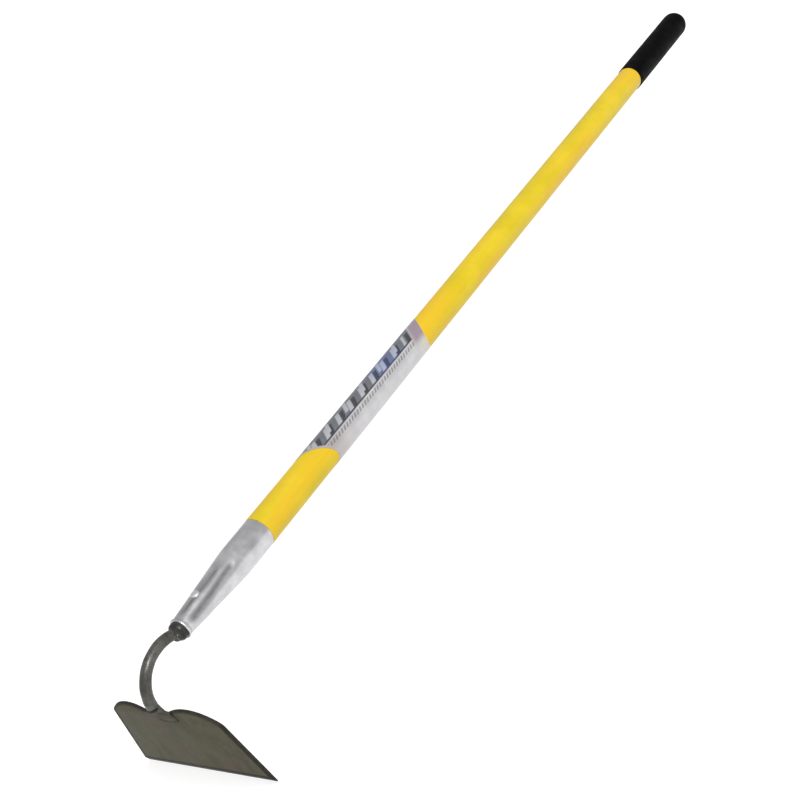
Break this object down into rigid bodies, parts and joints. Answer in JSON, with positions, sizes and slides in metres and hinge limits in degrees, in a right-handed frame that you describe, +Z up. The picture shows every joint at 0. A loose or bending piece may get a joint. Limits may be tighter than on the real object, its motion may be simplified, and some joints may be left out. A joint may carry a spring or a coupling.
{
  "type": "garden hoe",
  "caption": "Long-handled gooseneck hoe: flat steel blade with a two-lobed top, bent steel shank in a tapered ferrule, tubular fibreglass handle and a vinyl hand grip.",
  "frame": {"origin": "on the handle's axis, at the ferrule's upper edge, where the bare handle starts", "axes": "+X along the handle from the head towards the hand grip, +Z up and away from the blade, +Y across the blade; the blade hangs towards -Z"},
  "size_m": [1.3453, 0.1581, 0.141],
  "materials": {
    "blade_steel": "thin olive-brown lacquer over rolled steel, satin, darker on the ground edge",
    "shank_steel": "dark forged steel, satin",
    "weld_metal": "rippled weld under the same dark lacquer",
    "ferrule_steel": "drawn steel, bright zinc plate, fine lengthwise brushing",
    "rivet_steel": "bright zinc plate",
    "plug_wood": "plain turned hardwood",
    "fibreglass": "pultruded fibreglass, yellow through its depth, semi-gloss",
    "label_foil": "metallised film with a dark printed band",
    "plug_plastic": "moulded",
    "grip_vinyl": "dip-moulded vinyl, satin"
  },
  "bodies": {
    "root": {"blade": "blade_steel", "gooseneck_shank": "shank_steel", "foot_weld": "weld_metal", "ferrule": "ferrule_steel", "ferrule_rivet": "rivet_steel", "core_plug": "plug_wood", "handle_tube": "fibreglass", "label_wrap": "label_foil", "top_plug": "plug_plastic", "grip": "grip_vinyl"}
  },
  "joints": []
}
